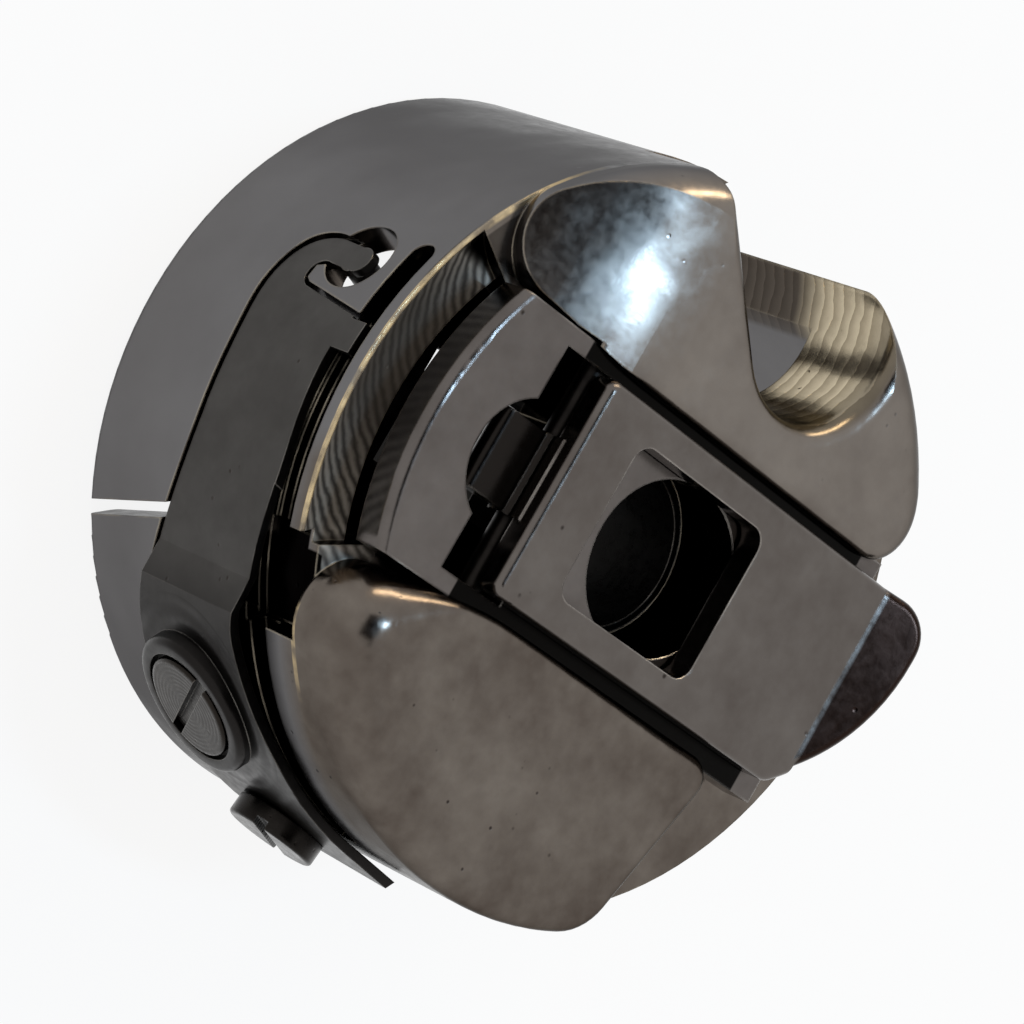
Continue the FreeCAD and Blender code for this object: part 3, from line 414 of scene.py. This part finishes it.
for limits in SHADED_RECESSES:
    recess_shade = add(tree, "ShaderNodeMath", {
        0: recess_shade, 1: area(tree, on_cup, limits)}, operation="MAXIMUM").outputs["Value"]
# painted shade: these recesses are painted black
paint_over(cup, recess_shade, linear("#080707"))
print("oil in", len(SHADED_RECESSES), "areas")

# %% Painted highlight on the rim
RIM = (("R", 11.56, FAR_MM, 0.1), ("Z", 10.65, 10.8, 0.04), ("X", -FAR_MM, -9.0, 1.6))
RIM_GLINT_MM = 0.9
RIM_GLINT_LEVELS = (0.38, 0.6)
LEAST_RIM_GLINT = 0.15
rim_glint_noise = add(tree, "ShaderNodeTexNoise", {"Vector": cup["place"], "Scale": per(RIM_GLINT_MM), "Detail": 3.0})
often = add(tree, "ShaderNodeMapRange", {
    "Value": rim_glint_noise.outputs["Fac"], **between(RIM_GLINT_LEVELS), "To Min": LEAST_RIM_GLINT, "To Max": 1.0})
# painted highlight: a golden line in spots along the rim's edge
paint_over(cup, product(tree, area(tree, on_cup, RIM), often.outputs["Result"]), linear("#cdb78f"))
print("rim rubbed in spots of", RIM_GLINT_MM, "mm")

# %% Dish of the notched lobe
LOBE_FALL = (("Y", 3.8, FAR_MM, 1.0), ("X", -FAR_MM, -4.5, 2.0), ("Z", 10.9, FAR_MM, 0.3))
DISH_MIDDLE_MM = 7.4
DISH_DEPTH = 8.0
off_middle = add(tree, "ShaderNodeMath", {
    0: spot["Y"], 1: 1.0 / MM, 2: -DISH_MIDDLE_MM}, operation="MULTIPLY_ADD").outputs["Value"]
emboss(cup, product(tree, off_middle, off_middle, area(tree, on_cup, LOBE_FALL)), DISH_DEPTH)
dress("case_body", close_surface(cup, "#a59b8a", edge_mm=0.1, shut=0.3))
print("cup dressed:", cup["material"].name)

# %% [markdown]
# ## Latch and post
#
# The lever and the slide are the same plate, a little smoother from handling. The lever's lip is
# painted a deeper brown, a painted reflection, and its underside is painted dark, as painted shade.
# The slide's rails and the wall of its stud hole under the lever are painted black, as painted shade.
# The hinge pin and the hollow post were turned and blackened in oil, so the hinge gap is dark too;
# the post is painted near black and darkened over a wide reach, as painted shade in its deep bore.
# Paint by position on the same plate is enough for this.

# %% Lever
LEVER_UNDERSIDE_SHADE = (("Z", 0.0, 12.42, 0.05),)
LEVER_LIP_REFLECTION = (("X", 8.95, FAR_MM, 0.1),)
lever = plated_steel("dark_nickel_on_steel_lever", "#554f4b", "#645f5b", (0.14, 0.21), 2.4)
on_lever = add(lever["tree"], "ShaderNodeSeparateXYZ", {"Vector": lever["place"]}).outputs
# painted shade: the lever's underside is painted dark
paint_over(lever, area(lever["tree"], on_lever, LEVER_UNDERSIDE_SHADE), linear("#211e1c"))
# painted reflection: the lip is painted a deep brown
paint_over(lever, area(lever["tree"], on_lever, LEVER_LIP_REFLECTION), linear("#251b17"))
dress("latch_lever", close_surface(lever, "#b3ada6", edge_mm=0.1, shut=0.42))
print("lever dressed:", lever["material"].name)

# %% Slide
RAIL_SIDE_MM = 3.5
HOLE_UPNESS = (0.7, 0.4)
UNDER_LEVER = (("X", -6.0, 8.0),)
slide = plated_steel("dark_nickel_on_steel_slide", "#56514e", "#645f5c", (0.14, 0.22), 2.0)
tree = slide["tree"]
on_slide = add(tree, "ShaderNodeSeparateXYZ", {"Vector": slide["place"]}).outputs
slide_facing = add(tree, "ShaderNodeTexCoord").outputs["Normal"]
slide_up = add(tree, "ShaderNodeSeparateXYZ", {"Vector": slide_facing}).outputs["Z"]
beside = add(tree, "ShaderNodeMath", {0: on_slide["Y"]}, operation="ABSOLUTE").outputs["Value"]
rails = within(tree, beside, RAIL_SIDE_MM, FAR_MM)
hole_wall = add(tree, "ShaderNodeMapRange", {"Value": slide_up, **between(HOLE_UPNESS)}).outputs["Result"]
shaded = add(tree, "ShaderNodeMath", {0: rails, 1: hole_wall}, operation="MAXIMUM").outputs["Value"]
# painted shade: the rails and the stud hole's wall under the lever are painted black
paint_over(slide, product(tree, shaded, area(tree, on_slide, UNDER_LEVER)), linear("#0b0a09"))
dress("latch_slide", close_surface(slide, "#c3beb7", edge_mm=0.12))
print("slide dressed:", slide["material"].name)

# %% Pin and post
pin = plated_steel("oil_blackened_pin_steel", "#191716", "#24211f", (0.28, 0.4), 1.0)
post = plated_steel("blackened_post_with_painted_shade", "#131211", "#1b1917", (0.24, 0.34), 2.0)
dress("latch_pin", close_surface(pin, "#3a3633"))
# painted shade: the post's near-black colour and its wide darkening give the deep bore its black
dress("bobbin_post", close_surface(post, "#8d8780", gap_mm=4.0, shut=0.8, black="#030303"))
print("pin and post dressed")

# %% [markdown]
# ## Leaf
#
# The tension leaf is rolled spring steel, flat grey and satin, painted darker round its boss. The
# boss has soft stamped rings round the regulating screw. A ring pattern needs its centre on the
# screw's own axis, so the position is turned into the screw's frame first.

# %% Frame of a screw
def screw_frame(finish, angle_deg, height_mm):
    """The position seen along a screw's axis, which leaves the cup at an angle and a height."""
    return add(finish["tree"], "ShaderNodeMapping", {
        "Vector": finish["place"], "Location": (0.0, 0.0, height_mm * MM),
        "Rotation": (0.0, 0.0, math.radians(angle_deg))}, vector_type="TEXTURE").outputs["Vector"]


REGULATOR_ANGLE = 238.0
REGULATOR_HEIGHT_MM = 5.4
print("the regulating screw points to", REGULATOR_ANGLE, "degrees")

# %% Leaf
LEAF_DARK_SIDE = (("Y", -FAR_MM, -8.6, 2.0),)
STAMP_MM = 0.8
STAMP_HEIGHT = 16.0
STAMPED = (("reach", 1.7, 3.2, 0.3),)
leaf = plated_steel("rolled_spring_steel_leaf", "#3d3b39", "#474543", (0.3, 0.4), 1.6, 0.9, 0.3)
tree = leaf["tree"]
on_leaf = add(tree, "ShaderNodeSeparateXYZ", {"Vector": leaf["place"]}).outputs
# the leaf is painted darker beyond y = -8.6 mm, round its boss
paint_over(leaf, area(tree, on_leaf, LEAF_DARK_SIDE), linear("#242221"))
boss = screw_frame(leaf, REGULATOR_ANGLE, REGULATOR_HEIGHT_MM)
across = add(tree, "ShaderNodeVectorMath", {0: boss, 1: (0.0, 1.0, 1.0)}, operation="MULTIPLY")
reach = add(tree, "ShaderNodeVectorMath", {0: across.outputs["Vector"]}, operation="LENGTH").outputs["Value"]
stamp = add(tree, "ShaderNodeTexWave", {
    "Vector": boss, "Scale": per(STAMP_MM) * WAVE}, wave_type="RINGS", rings_direction="X").outputs["Fac"]
emboss(leaf, product(tree, stamp, area(tree, {"reach": reach}, STAMPED)), STAMP_HEIGHT)
dress("tension_spring", close_surface(leaf, "#8b8781", edge_mm=0.06))
print("leaf dressed:", leaf["material"].name)

# %% [markdown]
# ## Screws
#
# The two screws are turned steel, dark with oil. Their faces keep the rings of the lathe, which
# show as dark circles round the slot. The rings are the same kind of wave as the leaf's stamp,
# each in its own screw's frame. They are drawn coarser than a lathe's feed, so that they show.

# %% Screw finishes
FIXING_ANGLE = 263.0
FIXING_HEIGHT_MM = 5.7
RING_DARKNESS = 0.55
RING_HEIGHT = 1.5


def turned_screw(name, deep, pale, angle_deg, height_mm, ring_mm):
    """Screw steel with lathe rings about an axis that leaves the cup at an angle and height."""
    finish = plated_steel(name, deep, pale, (0.22, 0.34), 0.8, 0.7)
    tree = finish["tree"]
    rings = add(tree, "ShaderNodeTexWave", {
        "Vector": screw_frame(finish, angle_deg, height_mm), "Scale": per(ring_mm) * WAVE,
        "Distortion": 0.4}, wave_type="RINGS", rings_direction="X").outputs["Fac"]
    shade = add(tree, "ShaderNodeMapRange", {"Value": rings, "To Min": 0.0, "To Max": RING_DARKNESS})
    paint_over(finish, shade.outputs["Result"], linear("#1c1917"))
    emboss(finish, rings, RING_HEIGHT)
    return finish


regulator = turned_screw("oiled_regulating_screw_steel", "#282522", "#332f2b", REGULATOR_ANGLE,
                         REGULATOR_HEIGHT_MM, 0.16)
fixing = turned_screw("oil_blackened_fixing_screw", "#1d1b1a", "#2c2a28", FIXING_ANGLE, FIXING_HEIGHT_MM, 0.2)
dress("regulating_screw", close_surface(regulator, "#8f8a83", edge_mm=0.06))
dress("fixing_screw", close_surface(fixing, "#5d5853", edge_mm=0.06))
print("screws dressed")

# %% [markdown]
# ## Latch coil
#
# Under the lever a small coil pushes the slide back. It shortens when the latch opens, which a
# rigid node can't do, so a coil mesh stands in for the node. A ring of points is carried along the
# helix, square to the wire, and neighbouring rings are joined.

# %% Shape of the coil
COIL_START = 5.2 * MM
COIL_LENGTH = 3.07 * MM
COIL_RADIUS = 0.62 * MM
COIL_HEIGHT = 11.6 * MM
WIRE_RADIUS = 0.14 * MM
COIL_TURNS = 4
STEPS_PER_TURN = 36
SIDES = 12


def coil_mesh(name):
    """A helix of round wire along X, as a closed mesh."""
    mesh = bpy.data.meshes.new(name)
    build = bmesh.new()
    rings = []
    last = COIL_TURNS * STEPS_PER_TURN
    wire_turns = [2 * math.pi * place / SIDES for place in range(SIDES)]
    for step in range(last + 1):
        angle = 2 * math.pi * step / STEPS_PER_TURN
        out = Vector((0.0, math.cos(angle), math.sin(angle)))
        centre = Vector((COIL_START + COIL_LENGTH * step / last, 0.0, COIL_HEIGHT)) + out * COIL_RADIUS
        along = Vector((COIL_LENGTH / (2 * math.pi * COIL_TURNS), -COIL_RADIUS * math.sin(angle),
                        COIL_RADIUS * math.cos(angle))).normalized()
        side = along.cross(out)
        rings.append([build.verts.new(centre + (out * math.cos(turn) + side * math.sin(turn)) * WIRE_RADIUS)
                      for turn in wire_turns])
    for here, there in zip(rings, rings[1:]):
        for place in range(SIDES):
            after = (place + 1) % SIDES
            build.faces.new((here[place], here[after], there[after], there[place])).smooth = True
    build.faces.new(rings[0])
    build.faces.new(rings[-1])
    bmesh.ops.recalc_face_normals(build, faces=build.faces)
    build.to_mesh(mesh)
    build.free()
    return mesh


print("coil of", COIL_TURNS, "turns")

# %% Coil in its place
coil = bpy.data.objects.new("latch_coil", coil_mesh("latch_coil"))
bpy.context.scene.collection.objects.link(coil)
coil_steel = plated_steel("oiled_spring_wire", "#3a3734", "#4b4743", (0.22, 0.32), 0.6)
coil.data.materials.append(close_surface(coil_steel, "#7d7872", edge_mm=0.03))
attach(coil, "case")
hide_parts("latch_spring")
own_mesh(coil)
print("coil in place with", len(coil.data.polygons), "faces")

# %% [markdown]
# ## Studio
#
# A pale floor fills the picture from above. For the camera and for reflections it is nearly plain
# white, as in a packshot, and it still takes a soft shadow. The world gives even light.

# %% Studio helpers
def share_seen(tree, share):
    """How much plain white a ray from the camera, a reflection or a clear body gets."""
    rays = add(tree, "ShaderNodeLightPath").outputs
    seen = rays["Is Camera Ray"]
    for kind in ("Is Glossy Ray", "Is Transmission Ray"):
        seen = add(tree, "ShaderNodeMath", {0: seen, 1: rays[kind]}, operation="MAXIMUM").outputs["Value"]
    return product(tree, seen, share)


def flat_sheet(name, wide, deep):
    """A flat sheet in the scene, facing up, with no material yet."""
    corners = [(-wide / 2, -deep / 2, 0.0), (wide / 2, -deep / 2, 0.0),
               (wide / 2, deep / 2, 0.0), (-wide / 2, deep / 2, 0.0)]
    mesh = bpy.data.meshes.new(name)
    mesh.from_pydata(corners, [], [(0, 1, 2, 3)])
    sheet = bpy.data.objects.new(name, mesh)
    bpy.context.scene.collection.objects.link(sheet)
    return sheet


print("studio helpers ready")

# %% Floor
FLOOR_SIZE = 1.2
FLOOR_GAP = 0.02 * MM
FLOOR_WHITENESS = 0.88
FIBRE_MM = 2.0
floor = flat_sheet("floor", FLOOR_SIZE, FLOOR_SIZE)
floor.location.z = -FLOOR_GAP
paper = bpy.data.materials.new("white_paper_floor")
paper.use_nodes = True
tree = paper.node_tree
tree.nodes.remove(tree.nodes["Principled BSDF"])
on_floor = add(tree, "ShaderNodeTexCoord").outputs["Object"]
fibre = add(tree, "ShaderNodeTexNoise", {"Vector": on_floor, "Scale": per(FIBRE_MM), "Detail": 2.0})
tint = add(tree, "ShaderNodeMix", {
    "Factor": fibre.outputs["Fac"], "A": linear("#f4f4f4"), "B": linear("#f8f8f8")}, data_type="RGBA")
lit = add(tree, "ShaderNodeBsdfDiffuse", {"Color": tint.outputs["Result"]})
plain_white = add(tree, "ShaderNodeEmission", {"Color": WHITE, "Strength": 1.0})
mixed = add(tree, "ShaderNodeMixShader", {
    0: share_seen(tree, FLOOR_WHITENESS), 1: lit.outputs["BSDF"], 2: plain_white.outputs["Emission"]})
tree.links.new(mixed.outputs["Shader"], tree.nodes["Material Output"].inputs["Surface"])
floor.data.materials.append(paper)
print("floor of", FLOOR_SIZE, "m")

# %% World
WORLD_LIGHT = 0.6
world = bpy.data.worlds.new("studio")
bpy.context.scene.world = world
world.use_nodes = True
tree = world.node_tree
tree.nodes.clear()
even = add(tree, "ShaderNodeBackground", {"Color": linear("#f4f2ef"), "Strength": WORLD_LIGHT})
plain_white = add(tree, "ShaderNodeBackground", {"Color": WHITE, "Strength": 1.0})
mixed = add(tree, "ShaderNodeMixShader", {
    0: share_seen(tree, 1.0), 1: even.outputs["Background"], 2: plain_white.outputs["Background"]})
add(tree, "ShaderNodeOutputWorld", {"Surface": mixed.outputs["Shader"]})
print("even light of", WORLD_LIGHT)

# %% [markdown]
# ## Lamps and card
#
# Polished metal shows its surroundings, so each lamp stands where one surface mirrors it to the
# camera. A cool softbox overhead is seen as a patch in the rounded fall of the notched lobe. A
# warm strip behind the cup is seen in the rim's edge. A dark felt card overhead, which only
# reflections see, is mirrored in the shoulders that fall to the mouth and gives them their brown
# depth, as the black flag of a metal photographer does.

# %% Softboxes
MIDDLE = Vector((0.0, 0.0, 12.0)) * MM


def aimed(direction, distance):
    """A spot at a distance from the cup's top along a direction, and the turn that faces the cup."""
    out = Vector(direction).normalized()
    side = (Vector((1.0, 0.0, 0.0)) - out * out.x).normalized()
    return MIDDLE + out * distance, Matrix((side, out.cross(side), out)).transposed().to_euler()


def softbox(name, direction, distance, size, brightness, colour):
    """An area lamp whose power follows from its size and how bright its face looks."""
    lamp = bpy.data.lights.new(name, "AREA")
    lamp.shape = "RECTANGLE"
    lamp.size, lamp.size_y = size
    lamp.energy = brightness * math.pi * size[0] * size[1]
    lamp.color = linear(colour)[:3]
    thing = bpy.data.objects.new(name, lamp)
    thing.location, thing.rotation_euler = aimed(direction, distance)
    bpy.context.scene.collection.objects.link(thing)


softbox("sky_softbox", direction=(0.19, 0.25, 0.945), distance=0.42, size=(0.11, 0.03), brightness=50.0,
        colour="#b8deff")
softbox("rim_strip", direction=(0.0, 0.94, 0.33), distance=0.40, size=(0.30, 0.05), brightness=14.0,
        colour="#ffe6c0")
print("two softboxes ready")

# %% Felt card
# patches in the felt, since its nap is too fine to show in a reflection
NAP_MM = 40.0


def felt_card(name, direction, distance, size, colour):
    """A dark felt panel that only reflections see."""
    card = flat_sheet(name, *size)
    card.location, card.rotation_euler = aimed(direction, distance)
    material = bpy.data.materials.new(name + "_felt")
    material.use_nodes = True
    tree = material.node_tree
    on_card = add(tree, "ShaderNodeTexCoord").outputs["Object"]
    nap = add(tree, "ShaderNodeTexNoise", {"Vector": on_card, "Scale": per(NAP_MM)})
    cloth = add(tree, "ShaderNodeMix", {
        "Factor": nap.outputs["Fac"], "A": linear(colour), "B": linear("#15120f")}, data_type="RGBA")
    shader = tree.nodes["Principled BSDF"]
    tree.links.new(cloth.outputs["Result"], shader.inputs["Base Color"])
    shader.inputs["Roughness"].default_value = 1.0
    card.data.materials.append(material)
    card.visible_camera = False
    card.visible_diffuse = False
    card.visible_shadow = False


felt_card("overhead_card", direction=(-0.12, 0.11, 0.985), distance=0.34, size=(0.19, 0.22),
          colour="#3a2c26")
print("one felt card ready")

# %% [markdown]
# ## Camera
#
# The camera stands where the photographer stood: 135 mm from the cup, above the mouth of the
# latch, rolled so that the lever runs to the lower right. The rows below are the picture's right,
# down and forward directions in the part's frame.

# %% Camera
RIGHT = Vector((0.611445, 0.494032, 0.618116))
DOWN = Vector((0.441107, -0.861327, 0.252072))
FORWARD = Vector((0.656932, 0.118527, -0.744575))
STANDPOINT = Vector((-85.8, -15.7, 103.4)) * MM
SENSOR_MM = 36.0
FOCAL_PIXELS = 4220.0
PICTURE_PIXELS = 1024.0
lens = bpy.data.cameras.new("camera")
lens.sensor_fit = "HORIZONTAL"
lens.sensor_width = SENSOR_MM
lens.lens = SENSOR_MM * FOCAL_PIXELS / PICTURE_PIXELS
lens.clip_start = 0.005
lens.clip_end = 10.0
camera = bpy.data.objects.new("camera", lens)
turn = Matrix((RIGHT, -DOWN, -FORWARD)).transposed().to_4x4()
camera.matrix_world = Matrix.Translation(STANDPOINT) @ turn
bpy.context.scene.collection.objects.link(camera)
bpy.context.scene.camera = camera
bpy.context.scene.view_settings.view_transform = "Standard"
print("camera at", [round(c / MM, 1) for c in STANDPOINT], "mm")

# %% [markdown]
# ## Update
#
# Dressing must not make the part larger or smaller. The last line brings the scene up to date.

bpy.context.view_layer.update()
